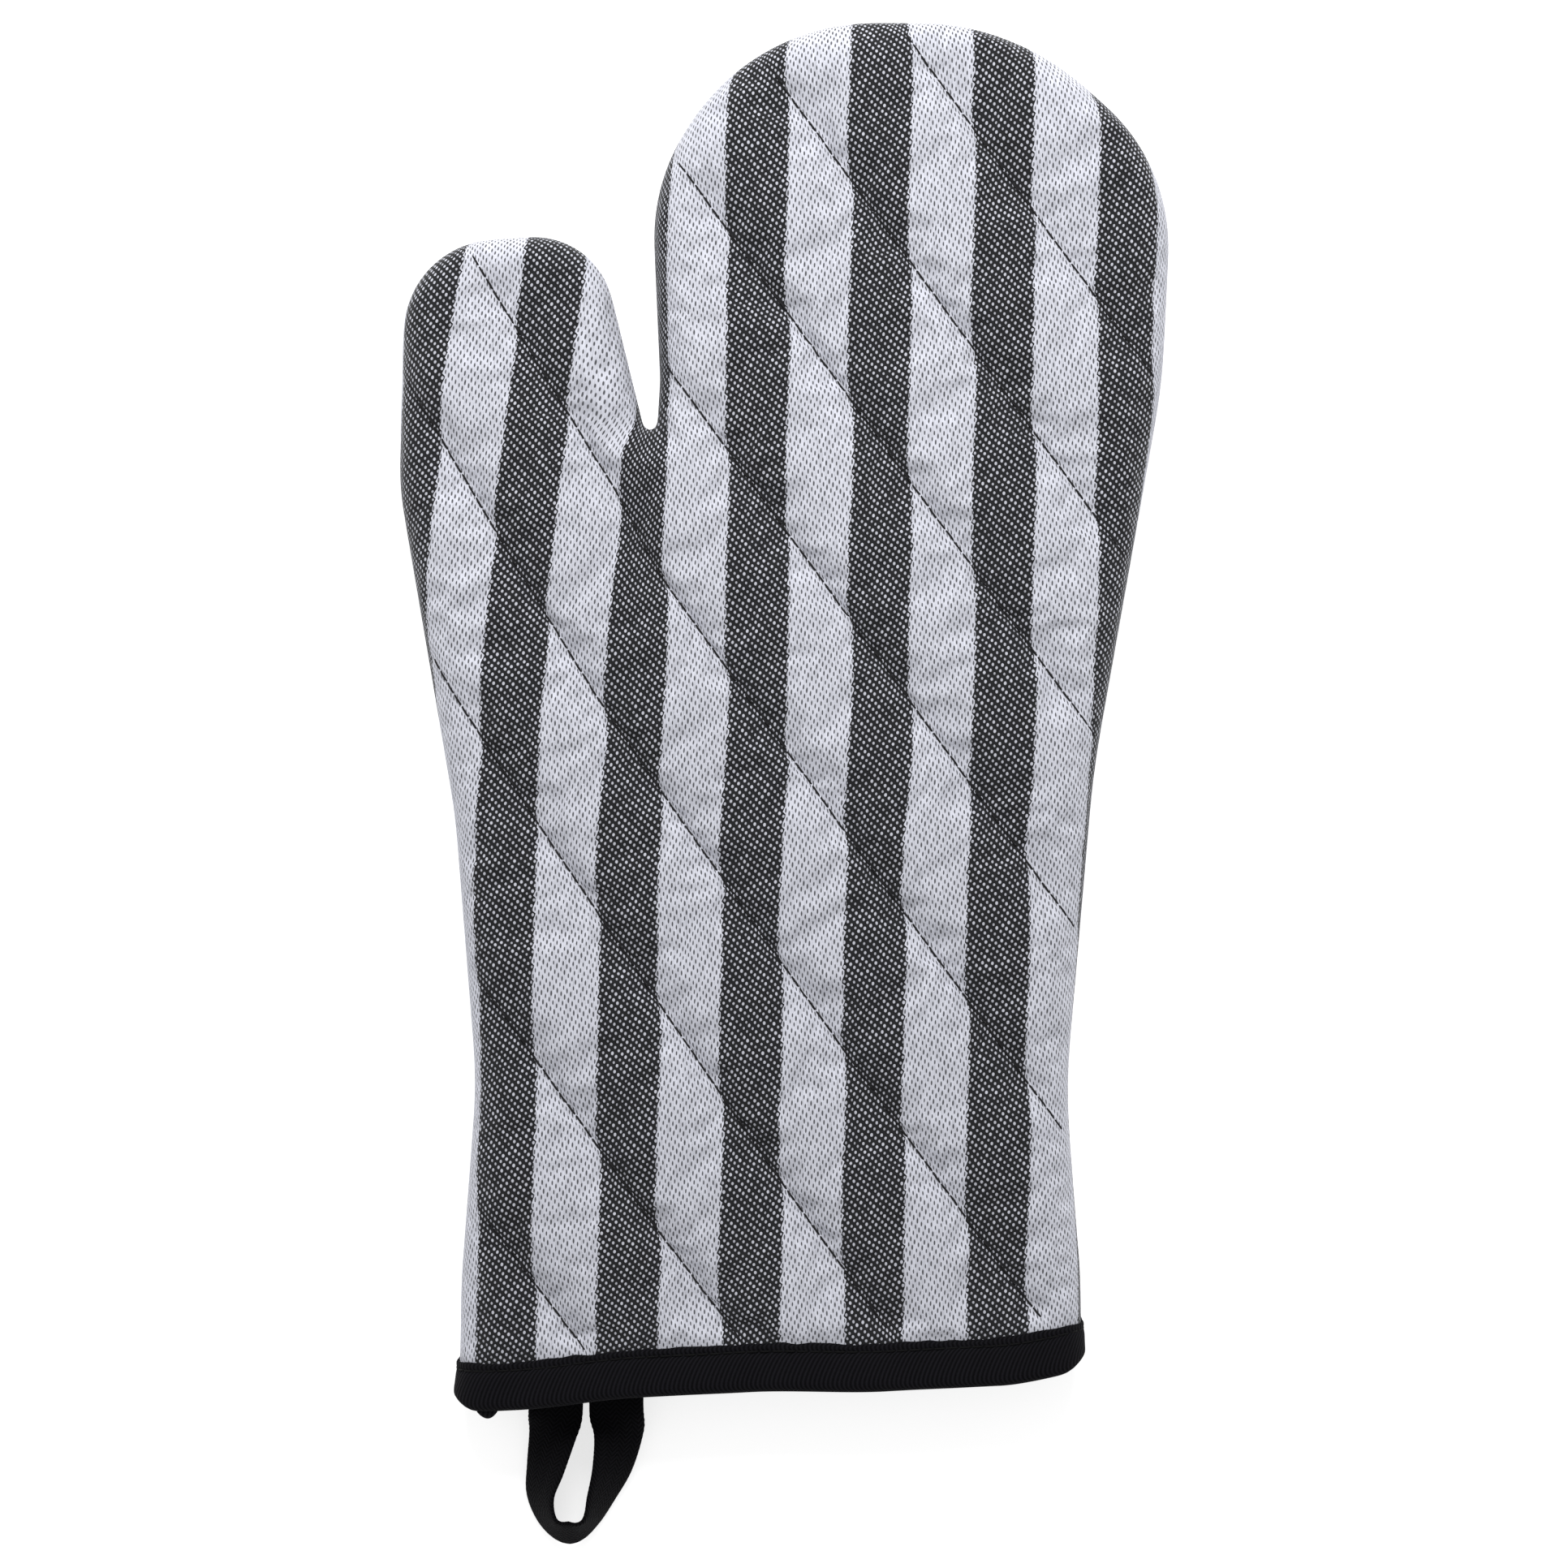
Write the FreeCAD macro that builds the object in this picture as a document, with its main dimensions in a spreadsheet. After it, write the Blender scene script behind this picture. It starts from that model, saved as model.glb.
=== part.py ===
import FreeCAD, Part
import math
import os

import Sketcher
from FreeCAD import Placement, Rotation, Vector

# Quilted oven mitt lying flat on its back panel, in millimetres.
# X runs across the hand with the thumb at -X, Y runs from the cuff to the fingertips, Z is up
# out of the front panel. The origin is under the middle of the mitt, on the surface it lies on.
# Each panel is a sandwich of shell, wadding and lining. The two panels meet at the side seam,
# which lies in a level plane half way up, so the back panel is the front one mirrored in it.

DIMENSIONS = {
    "half_height": 11.0,
    "edge_radius": 9.0,
    "shell_thickness": 1.2,
    "wadding_thickness": 5.0,
    "lining_thickness": 0.8,
    # The cuff edge runs at a slight tilt. Its line is given as a distance from the origin,
    # measured square to the edge.
    "cuff_tilt": 2.9,
    "cuff_line": -142.0,
    "binding_width": 11.5,
    "binding_thickness": 0.6,
    "binding_stitch_line": 9.6,
    # The folded end of the binding tape, from the origin along the cuff edge and up from the seam.
    "nub_along": -78.2,
    "nub_width": 4.0,
    "nub_reach": 1.5,
    "nub_rise": 5.0,
    "nub_height": 4.0,
    # The quilting rows run down to the right. The first one is given by its distance from the origin.
    "quilt_turn": -54.0,
    "quilt_pitch": 30.0,
    "quilt_first_row": 125.0,
    "thread_width": 0.6,
    "thread_depth": 0.3,
    "seam_thread_size": 0.8,
    # The hanging loop is one length of webbing. Its two ends lie side by side inside the mouth.
    "tape_width": 13.0,
    "tape_thickness": 1.2,
    "tape_left": -53.7,
    "tape_right": -39.4,
    "tape_sewn_end": -128.0,
    "tape_free_end": -145.9,
    "tack_line": -133.0,
    "tack_width": 2.0,
    "tack_height": 0.5,
    "waste": 500.0,
}

# Corners of the panel's outline, clockwise from the cuff: the point where the two straight runs
# would meet, and the radius that rounds them there. A radius of 0 is a sharp corner.
OUTLINE = [
    ("cuff_left", -79.2, -165.0, 0.0),
    ("waist_left", -72.0, -69.5, 115.0),
    ("hip_left", -77.0, -7.0, 129.0),
    ("thumb_base", -90.0, 69.5, 60.0),
    ("thumb_tip_left", -88.5, 126.0, 22.0),
    ("thumb_tip_right", -44.0, 129.0, 18.5),
    ("crotch", -30.3, 73.0, 1.7),
    ("finger_inner", -29.0, 94.5, 15.0),
    ("hand_left", -31.0, 140.0, 46.0),
    ("dome_left", -7.5, 178.0, 51.5),
    ("dome_right", 53.5, 178.0, 59.0),
    ("hand_right", 91.0, 144.5, 44.0),
    ("side_right", 88.5, 93.5, 134.0),
    ("hip_right", 72.5, 3.5, 216.0),
    ("waist_right", 66.0, -71.0, 138.0),
    ("cuff_right", 73.0, -165.0, 0.0),
]

QUILT_ROWS = 9

# The free part of the loop, from its left leg round the tip to its right leg. Each station has the
# middle of the webbing, the way it heads in plan (degrees from +X) and how far it has rolled on to
# its edge (degrees). Both legs start at the hinge line, just clear of the sewn ends.
LOOP_STATIONS = [
    ("leg_left", -53.7, -147.4, 8.2, -92.0, 0.0),
    ("fall_left", -54.5, -153.0, 8.0, -99.0, 28.0),
    ("side_left", -56.0, -160.5, 7.5, -101.0, 45.0),
    ("low_left", -57.0, -167.0, 6.7, -83.0, 60.0),
    ("turn_left", -55.4, -171.3, 6.4, -50.0, 65.0),
    ("tip", -50.4, -175.3, 6.4, 0.0, 67.0),
    ("turn_right", -45.4, -171.2, 6.4, 48.0, 65.0),
    ("low_right", -42.8, -167.0, 6.7, 62.0, 60.0),
    ("side_right", -40.3, -160.5, 7.5, 74.0, 45.0),
    ("fall_right", -38.9, -153.0, 8.0, 86.0, 28.0),
    ("leg_right", -39.4, -147.4, 8.2, 92.0, 0.0),
]

doc = FreeCAD.newDocument("oven_mitt")
sheet = doc.addObject("Spreadsheet::Sheet", "dims")
sheet_rows = 0


def add_dimension(alias, value):
    """Gives the sheet one more named number."""
    global sheet_rows
    sheet_rows += 1
    sheet.set(f"A{sheet_rows}", alias)
    sheet.set(f"B{sheet_rows}", str(value))
    sheet.setAlias(f"B{sheet_rows}", alias)


for alias, value in DIMENSIONS.items():
    add_dimension(alias, value)
for corner, corner_x, corner_y, corner_radius in OUTLINE:
    add_dimension(f"{corner}_x", corner_x)
    add_dimension(f"{corner}_y", corner_y)
    if corner_radius:
        add_dimension(f"{corner}_radius", corner_radius)
for station, *middle, _, _ in LOOP_STATIONS:
    for axis, value in zip("xyz", middle):
        add_dimension(f"loop_{station}_{axis}", value)
doc.recompute()


def corner_arc(before, corner, after, radius):
    """The arc that rounds a corner of the outline, from its first tangent point to its second."""
    to_before = (before - corner).normalize()
    to_after = (after - corner).normalize()
    half_angle = math.acos(to_before.dot(to_after)) / 2
    reach = radius / math.tan(half_angle)
    bisector = (to_before + to_after).normalize()
    centre = corner + bisector * (radius / math.sin(half_angle))
    middle = centre - bisector * radius
    return Part.Arc(corner + to_before * reach, middle, corner + to_after * reach)


def name_constraint(sketch, constraint, name, alias):
    """Adds a dimension to a sketch and binds it to the sheet."""
    index = sketch.addConstraint(constraint)
    sketch.renameConstraint(index, name)
    sketch.setExpression(f"Constraints.{name}", f"dims.{alias}")


def draw_outline():
    """The panel's outline: straight runs between the corners, joined by tangent arcs."""
    sketch = doc.addObject("Sketcher::SketchObject", "outline")
    points = [Vector(x, y, 0) for _, x, y, _ in OUTLINE]
    count = len(OUTLINE)
    arcs = {}
    for i, (_, _, _, radius) in enumerate(OUTLINE):
        if radius:
            arcs[i] = corner_arc(points[i - 1], points[i], points[(i + 1) % count], radius)
    runs = []
    for i in range(count):
        after = (i + 1) % count
        start = arcs[i].EndPoint if i in arcs else points[i]
        end = arcs[after].StartPoint if after in arcs else points[after]
        runs.append(sketch.addGeometry(Part.LineSegment(start, end)))
    for i, (corner, x, y, radius) in enumerate(OUTLINE):
        run_in, run_out = runs[i - 1], runs[i]
        if i in arcs:
            arc = sketch.addGeometry(arcs[i])
            flipped = sketch.getPoint(arc, 1).distanceToPoint(arcs[i].StartPoint) > 1e-6
            first, last = (2, 1) if flipped else (1, 2)
            point = sketch.addGeometry(Part.Point(points[i]), True)
            sketch.addConstraint(Sketcher.Constraint("Tangent", run_in, 2, arc, first))
            sketch.addConstraint(Sketcher.Constraint("Tangent", arc, last, run_out, 1))
            sketch.addConstraint(Sketcher.Constraint("PointOnObject", point, 1, run_in))
            sketch.addConstraint(Sketcher.Constraint("PointOnObject", point, 1, run_out))
            radius_constraint = Sketcher.Constraint("Radius", arc, radius)
            name_constraint(sketch, radius_constraint, f"{corner}_radius", f"{corner}_radius")
            anchor = (point, 1)
        else:
            sketch.addConstraint(Sketcher.Constraint("Coincident", run_in, 2, run_out, 1))
            anchor = (run_out, 1)
        across = Sketcher.Constraint("DistanceX", -1, 1, *anchor, x)
        along = Sketcher.Constraint("DistanceY", -1, 1, *anchor, y)
        name_constraint(sketch, across, f"{corner}_x", f"{corner}_x")
        name_constraint(sketch, along, f"{corner}_y", f"{corner}_y")
    return sketch


outline = draw_outline()
doc.recompute()


def named(value):
    """A number from the sheet, for the few properties that take no expression."""
    return float(sheet.evalExpression(value))


def level(name, plan_inset, height, edge_radius):
    """A solid half of the mitt above the seam plane: the outline brought in by plan_inset, drawn
    up by height, with its upper edge rounded. Nested levels bound the layers of a panel."""
    offset = doc.addObject("Part::Offset2D", f"{name}_outline")
    offset.Source = outline
    offset.Join = "Intersection"
    offset.setExpression("Value", f"-({plan_inset})")
    block = doc.addObject("Part::Extrusion", f"{name}_block")
    block.Base = offset
    block.DirMode = "Custom"
    block.Dir = Vector(0, 0, 1)
    block.Solid = True
    block.setExpression("LengthFwd", height)
    block.setExpression("Placement.Base.z", "dims.half_height")
    doc.recompute()
    top = block.Shape.BoundBox.ZMax
    rim = [i for i, edge in enumerate(block.Shape.Edges, start=1) if edge.BoundBox.ZMin > top - 1e-6]
    radius = named(edge_radius)
    solid = doc.addObject("Part::Fillet", name)
    solid.Base = block
    solid.Edges = [(i, radius, radius) for i in rim]
    return solid


def nested_level(name, depth):
    """A level that lies depth under the panel's face everywhere."""
    return level(name, depth, f"dims.half_height - ({depth})", f"dims.edge_radius - ({depth})")


def turned_box(name, size, corner, turn):
    """A box with sides along and across a line turned about Z through the origin. Its lowest corner
    is given along that line, square to it, and up."""
    box = doc.addObject("Part::Box", name)
    for side, length in zip(("Length", "Width", "Height"), size):
        box.setExpression(side, length)
    along, across, up = corner
    box.Placement = Placement(Vector(), Rotation(Vector(0, 0, 1), named(turn)))
    box.setExpression("Placement.Rotation.Angle", turn)
    box.setExpression("Placement.Base.x", f"({along}) * cos({turn}) - ({across}) * sin({turn})")
    box.setExpression("Placement.Base.y", f"({along}) * sin({turn}) + ({across}) * cos({turn})")
    box.setExpression("Placement.Base.z", up)
    return box


def cut(name, base, tool):
    result = doc.addObject("Part::Cut", name)
    result.Base = base
    result.Tool = tool
    result.Refine = False
    return result


def common(name, base, tool):
    result = doc.addObject("Part::Common", name)
    result.Base = base
    result.Tool = tool
    result.Refine = False
    return result


def fuse(name, pieces):
    result = doc.addObject("Part::MultiFuse", name)
    result.Shapes = pieces
    result.Refine = False
    return result


def mirrored(name, source):
    """The same piece on the back panel, mirrored in the seam plane."""
    result = doc.addObject("Part::Mirroring", name)
    result.Source = source
    result.Normal = Vector(0, 0, 1)
    result.setExpression("Base.z", "dims.half_height")
    return result


def below_cuff_line(name, rise):
    """Everything on the wrist side of a line that lies rise above the cuff edge."""
    across = f"dims.cuff_line + ({rise}) - dims.waste"
    corner = ("-dims.waste / 2", across, "-dims.waste / 2")
    return turned_box(name, ("dims.waste", "dims.waste", "dims.waste"), corner, "dims.cuff_tilt")


# Levels of one panel, from its face to the hand cavity.
WADDING_DEPTH = "dims.shell_thickness"
LINING_DEPTH = f"{WADDING_DEPTH} + dims.wadding_thickness"
CAVITY_DEPTH = f"{LINING_DEPTH} + dims.lining_thickness"

face = nested_level("face", "0")
stitch_floor = nested_level("stitch_floor", "dims.thread_depth")
wadding_top = nested_level("wadding_top", WADDING_DEPTH)
lining_top = nested_level("lining_top", LINING_DEPTH)
bobbin_floor = nested_level("bobbin_floor", f"{CAVITY_DEPTH} - dims.thread_depth")
cavity = nested_level("cavity", CAVITY_DEPTH)
seam_inner = nested_level("seam_inner", f"{CAVITY_DEPTH} + dims.seam_thread_size")
binding_inner = nested_level("binding_inner", f"{CAVITY_DEPTH} + dims.binding_thickness")

# The binding stands proud at the sides. On the face it presses the cloth down by its own
# thickness, so that the mitt still lies flat.
binding_outer = level(
    "binding_outer",
    "-dims.binding_thickness",
    "dims.half_height",
    "dims.edge_radius",
)
binding_seat = level("binding_seat", "0", "dims.half_height - dims.binding_thickness", "dims.edge_radius")

off_cuff = below_cuff_line("off_cuff", "0")
off_raw_edge = below_cuff_line("off_raw_edge", "dims.binding_thickness")
off_binding = below_cuff_line("off_binding", "dims.binding_width")

# Thread in the cuff binding: one round outside it and one round inside it, each let in flush.
stitch_slab = turned_box(
    "stitch_slab",
    ("dims.waste", "dims.thread_width", "dims.waste"),
    ("-dims.waste / 2", "dims.cuff_line + dims.binding_stitch_line", "-dims.waste / 2"),
    "dims.cuff_tilt",
)
binding_stitch_floor = level(
    "binding_stitch_floor",
    "dims.thread_depth - dims.binding_thickness",
    "dims.half_height - dims.thread_depth",
    "dims.edge_radius",
)
inner_stitch_floor = nested_level(
    "inner_stitch_floor", f"{CAVITY_DEPTH} + dims.binding_thickness - dims.thread_depth"
)
outer_skin = cut("binding_outer_skin", binding_outer, binding_stitch_floor)
inner_skin = cut("binding_inner_skin", inner_stitch_floor, binding_inner)
outer_stitch = common("binding_stitch_front", outer_skin, stitch_slab)
inner_stitch = common("binding_inner_stitch_front", inner_skin, stitch_slab)
binding_thread = fuse("binding_thread", [outer_stitch, mirrored("binding_stitch_back", outer_stitch)])
binding_inner_thread = fuse(
    "binding_inner_thread",
    [inner_stitch, mirrored("binding_inner_stitch_back", inner_stitch)],
)

# Cuff binding: one tape folded over the raw edge all the way round the mouth, with a leaf outside,
# a leaf inside, and the folded end of the tape standing out of the edge at the thumb side.
binding_wall = cut("binding_wall", cut("binding_block", binding_outer, binding_inner), off_cuff)
binding_band = common("binding_band", binding_wall, off_binding)
bound_layers = cut("bound_layers", cut("bound_block", binding_seat, cavity), off_raw_edge)
binding_half = cut("binding_half", binding_band, bound_layers)
nub = turned_box(
    "binding_nub",
    ("dims.nub_width", "dims.nub_reach + dims.binding_thickness", "dims.nub_height"),
    ("dims.nub_along", "dims.cuff_line - dims.nub_reach", "dims.half_height + dims.nub_rise"),
    "dims.cuff_tilt",
)
binding_ring = fuse("binding_ring", [binding_half, mirrored("binding_half_back", binding_half), nub])
binding_threads = fuse("binding_threads", [binding_thread, binding_inner_thread])
cuff_binding = cut("cuff_binding", binding_ring, binding_threads)

# Quilting: straight rows of stitches through the whole sandwich, with one thread let into the shell
# and one let into the lining. A row that crosses the thumb and the hand is in two runs.
face_skin = cut("face_skin", cut("face_skin_block", face, stitch_floor), off_binding)
lining_skin = cut("lining_skin", cut("lining_skin_block", bobbin_floor, cavity), off_binding)
top_rows = []
bobbin_rows = []
for row in range(1, QUILT_ROWS + 1):
    across = f"dims.quilt_first_row - {row - 1} * dims.quilt_pitch - dims.thread_width / 2"
    plate = turned_box(
        f"quilt_plate_{row}",
        ("dims.waste", "dims.thread_width", "dims.waste"),
        ("-dims.waste / 2", across, "-dims.waste / 2"),
        "dims.quilt_turn",
    )
    top_rows.append(common(f"front_quilt_thread_{row}", face_skin, plate))
    bobbin_rows.append(common(f"front_quilt_bobbin_{row}", lining_skin, plate))

# Front panel: shell, wadding and lining, each cut off at the raw edge inside the binding.
shell_block = cut("shell_block", cut("shell_shape", face, wadding_top), off_raw_edge)
shell_bound = cut("shell_bound", shell_block, binding_half)
front_shell = cut("front_shell", shell_bound, fuse("top_threads", top_rows))
front_wadding = cut("front_wadding", cut("wadding_shape", wadding_top, lining_top), off_raw_edge)
lining_block = cut("lining_block", cut("lining_shape", lining_top, cavity), off_raw_edge)
front_lining = cut("front_lining", lining_block, fuse("bobbin_threads", bobbin_rows))

# Back panel: the same pieces on the other side of the seam plane.
front_pieces = [front_shell, front_wadding, front_lining, *top_rows, *bobbin_rows]
back_pieces = [mirrored(piece.Name.replace("front", "back"), piece) for piece in front_pieces]

# Side seam: a bead of thread round the cavity where the two panels meet, from binding to binding.
seam_band = cut("seam_band", cut("seam_block", cavity, seam_inner), off_binding)
seam_slab = turned_box(
    "seam_slab",
    ("dims.waste", "dims.waste", "dims.seam_thread_size / 2"),
    ("-dims.waste / 2", "-dims.waste / 2", "dims.half_height"),
    "dims.cuff_tilt",
)
seam_half = common("seam_half", seam_band, seam_slab)
side_seam_thread = fuse("side_seam_thread", [seam_half, mirrored("seam_half_back", seam_half)])

# Hanging loop, sewn part: both ends of the webbing lie on the back panel's inner leaf of binding,
# under a tack of thread.
TAPE_UNDERSIDE = f"{CAVITY_DEPTH} + dims.binding_thickness"
tape_ends = []
for side in ("left", "right"):
    end = doc.addObject("Part::Box", f"tape_end_{side}")
    end.setExpression("Length", "dims.tape_width")
    end.setExpression("Width", "dims.tape_sewn_end - dims.tape_free_end")
    end.setExpression("Height", "dims.tape_thickness")
    end.setExpression("Placement.Base.x", f"dims.tape_{side} - dims.tape_width / 2")
    end.setExpression("Placement.Base.y", "dims.tape_free_end")
    end.setExpression("Placement.Base.z", TAPE_UNDERSIDE)
    tape_ends.append(end)
loop_ends = doc.addObject("Part::Compound", "hang_loop_ends")
loop_ends.Links = tape_ends
tack = doc.addObject("Part::Box", "loop_tack_thread")
tack.setExpression("Length", "dims.tape_right - dims.tape_left + dims.tape_width - dims.tack_width")
tack.setExpression("Width", "dims.tack_width")
tack.setExpression("Height", "dims.tack_height")
tack.setExpression("Placement.Base.x", "dims.tape_left - (dims.tape_width - dims.tack_width) / 2")
tack.setExpression("Placement.Base.y", "dims.tack_line")
tack.setExpression("Placement.Base.z", f"{TAPE_UNDERSIDE} + dims.tape_thickness")


def tape_section(station, heading, roll):
    """The webbing's section at one station of the loop, square to the way it heads. Its inner edge
    rises as it rolls."""
    sketch = doc.addObject("Sketcher::SketchObject", f"loop_{station}")
    half_width = DIMENSIONS["tape_width"] / 2
    half_thickness = DIMENSIONS["tape_thickness"] / 2
    corners = [
        Vector(-half_width, -half_thickness, 0),
        Vector(half_width, -half_thickness, 0),
        Vector(half_width, half_thickness, 0),
        Vector(-half_width, half_thickness, 0),
    ]
    sides = [Part.LineSegment(corners[i - 1], corners[i]) for i in range(4)]
    first = sketch.addGeometry(sides)[0]
    for i in range(4):
        sketch.addConstraint(Sketcher.Constraint("Coincident", first + i, 2, first + (i + 1) % 4, 1))
        direction = "Horizontal" if i % 2 else "Vertical"
        sketch.addConstraint(Sketcher.Constraint(direction, first + i))
    sketch.addConstraint(Sketcher.Constraint("Symmetric", first + 1, 1, first + 2, 2, -1, 1))
    width = Sketcher.Constraint("DistanceX", first + 1, 1, first + 1, 2, 2 * half_width)
    thickness = Sketcher.Constraint("DistanceY", first + 2, 1, first + 2, 2, 2 * half_thickness)
    name_constraint(sketch, width, "width", "tape_width")
    name_constraint(sketch, thickness, "thickness", "tape_thickness")
    along_path = Rotation(Vector(0, 0, 1), heading + 90) * Rotation(Vector(1, 0, 0), 90)
    rolled = along_path * Rotation(Vector(0, 0, 1), roll)
    sketch.Placement = Placement(Vector(), rolled)
    for axis in "xyz":
        sketch.setExpression(f"Placement.Base.{axis}", f"dims.loop_{station}_{axis}")
    return sketch


# Hanging loop, free part: the webbing rolls on to its edge on the way to the tip, round its eye.
hang_loop = doc.addObject("Part::Loft", "hang_loop")
hang_loop.Sections = [tape_section(name, heading, roll) for name, *_, heading, roll in LOOP_STATIONS]
hang_loop.Solid = True

doc.recompute()

sub_parts = [
    *front_pieces,
    *back_pieces,
    cuff_binding,
    binding_thread,
    binding_inner_thread,
    side_seam_thread,
    loop_ends,
    tack,
    hang_loop,
]

for item in doc.Objects:
    if "Invalid" in item.State or "Error" in item.State:
        raise RuntimeError(f"{item.Name} did not recompute: {item.State}")
for piece in sub_parts:
    piece.Label = piece.Name
    if piece.Shape.isNull() or not piece.Shape.isValid() or not piece.Shape.Solids:
        raise RuntimeError(f"{piece.Label} has no valid solid")

os.makedirs("parts", exist_ok=True)
for piece in sub_parts:
    piece.Shape.exportStep(f"parts/{piece.Label}.step")
    box = piece.Shape.BoundBox
    print(f"{piece.Label}: {len(piece.Shape.Solids)} solids, {piece.Shape.Volume:.1f} mm3, "
          f"Z {box.ZMin:.2f} to {box.ZMax:.2f}")
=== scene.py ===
import math

import bmesh
import bpy
import numpy as np
from mathutils import Euler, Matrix, Vector, kdtree, noise
from mathutils.bvhtree import BVHTree
from mathutils.geometry import delaunay_2d_cdt


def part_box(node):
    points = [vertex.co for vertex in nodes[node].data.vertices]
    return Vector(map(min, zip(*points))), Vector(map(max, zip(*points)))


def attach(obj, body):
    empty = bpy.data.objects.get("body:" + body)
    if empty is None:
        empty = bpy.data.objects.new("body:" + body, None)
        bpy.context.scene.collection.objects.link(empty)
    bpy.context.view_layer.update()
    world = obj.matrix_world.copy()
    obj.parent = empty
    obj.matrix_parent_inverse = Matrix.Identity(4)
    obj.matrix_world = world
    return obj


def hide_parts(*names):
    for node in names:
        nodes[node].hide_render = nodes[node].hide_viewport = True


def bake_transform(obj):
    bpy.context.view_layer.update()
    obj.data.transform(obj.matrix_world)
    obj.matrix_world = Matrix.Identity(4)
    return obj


# Quilted oven mitt lying flat on its back panel. Lengths here are in millimetres in the frame's
# axes, and become metres only where a mesh, lamp or camera is made.

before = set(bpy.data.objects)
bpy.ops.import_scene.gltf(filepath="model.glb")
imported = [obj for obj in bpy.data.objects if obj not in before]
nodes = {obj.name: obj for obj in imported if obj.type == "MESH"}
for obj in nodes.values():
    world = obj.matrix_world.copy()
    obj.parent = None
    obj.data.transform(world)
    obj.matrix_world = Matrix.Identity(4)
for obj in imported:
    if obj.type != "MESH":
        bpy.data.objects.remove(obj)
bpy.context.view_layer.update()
MM = 0.001

# Lines that the CAD model shares with the cloth: the cuff edge and the quilting rows, each given by
# its turn and its distance from the origin. The cloth's raw edge lies inside the binding.
CUFF_TILT = math.radians(2.9)
CUFF_LINE = -142.0
RAW_EDGE = 1.2
QUILT_TURN = math.radians(-54.0)
QUILT_FIRST_ROW = 125.0
QUILT_PITCH = 30.0
QUILT_ROWS = 9
STITCH = 3.3

SEAM_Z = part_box("front_shell")[0].z / MM
SEAM_TO_WADDING = 1.2
CUFF_DRAW = 1.1

# One panel, measured up from the seam plane and in from the seam line.
CROWN = 10.7
RIM = 2.0
ROLL = 10.0
CHANNEL = 2.8
CUFF_PRESS = 0.6
SHELL_THICKNESS = 1.0
WADDING_DEPTH = 1.2
WADDING_THICKNESS = 3.9
LINING_DEPTH = 5.3
LINING_THICKNESS = 0.75
INNER_FACE = LINING_DEPTH + LINING_THICKNESS

BINDING_WIDTH = 11.5
BINDING_STITCH_LINE = 9.6

# The woven cloth: a stripe's repeat, its dark part and the spacing of its yarns.
STRIPE_REPEAT = 28.5
DARK_STRIPE = 13.9
YARN = 0.43


def smoothstep(low, high, value):
    t = np.clip((np.asarray(value, float) - low) / (high - low), 0, 1)
    return t * t * (3 - 2 * t)


def axes(turn):
    """Unit vectors along a line with this turn and square to it."""
    ahead = np.array([math.cos(turn), math.sin(turn)])
    return ahead, np.array([-ahead[1], ahead[0]])


CUFF_AHEAD, CUFF_UP = axes(CUFF_TILT)
QUILT_AHEAD, QUILT_ACROSS = axes(QUILT_TURN)


# ---------------------------------------------------------------- plan of the mitt


def across_cuff(points):
    """How far up from the cuff edge each point is."""
    return points[:, 1] * math.cos(CUFF_TILT) - points[:, 0] * math.sin(CUFF_TILT) - CUFF_LINE


def resample(path, step):
    """The same line with points at an even spacing close to step."""
    lengths = np.hypot(*np.diff(path, axis=0).T[:2])
    along = np.concatenate([[0], np.cumsum(lengths)])
    count = max(2, round(along[-1] / step))
    wanted = np.linspace(0, along[-1], count + 1)
    return np.stack([np.interp(wanted, along, column) for column in path.T], axis=1)


def side_normals(path):
    """Unit normals on the left of a plan line."""
    tangent = np.gradient(path, axis=0)
    tangent /= np.hypot(*tangent.T)[:, None]
    return np.stack([-tangent[:, 1], tangent[:, 0]], axis=1)


def seam_line():
    """The seam in plan, from the cuff at the thumb side round the fingertips to the other side. It is
    the wadding's outer edge in the seam plane, brought out by the shell's thickness."""
    bm = bmesh.new()
    bm.from_mesh(nodes["front_wadding"].data)
    bmesh.ops.remove_doubles(bm, verts=bm.verts, dist=1e-7)
    level = SEAM_Z * MM

    def in_plane(verts):
        return all(abs(v.co.z - level) < 1e-6 for v in verts)

    ties = {}
    for edge in bm.edges:
        if in_plane(edge.verts) and sum(in_plane(face.verts) for face in edge.link_faces) == 1:
            a, b = edge.verts
            ties.setdefault(a, []).append(b)
            ties.setdefault(b, []).append(a)
    corner_band = 1.0
    step = 0.9
    past_cuff = 14.0
    spots = {v: across_cuff(np.array([v.co[:2]]) / MM)[0] for v in ties}
    lowest = min(spots.values())
    cuff = [v for v in ties if spots[v] < lowest + corner_band]
    start = min(cuff, key=lambda v: v.co.x)
    end = max(cuff, key=lambda v: v.co.x)
    walk = [start, max(ties[start], key=lambda v: spots[v])]
    while walk[-1] is not end:
        walk.append(next(v for v in ties[walk[-1]] if v is not walk[-2]))
    path = resample(np.array([v.co[:2] for v in walk]) / MM, step)
    bm.free()
    path = path + side_normals(path) * SEAM_TO_WADDING
    # The binding draws the cuff in a little.
    path -= side_normals(path) * smoothstep(112, 138, -path[:, 1])[:, None] * CUFF_DRAW
    head = path[0] - (path[4] - path[0]) / np.linalg.norm(path[4] - path[0]) * past_cuff
    tail = path[-1] - (path[-5] - path[-1]) / np.linalg.norm(path[-5] - path[-1]) * past_cuff
    return resample(np.vstack([head, path, tail]), step)


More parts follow.
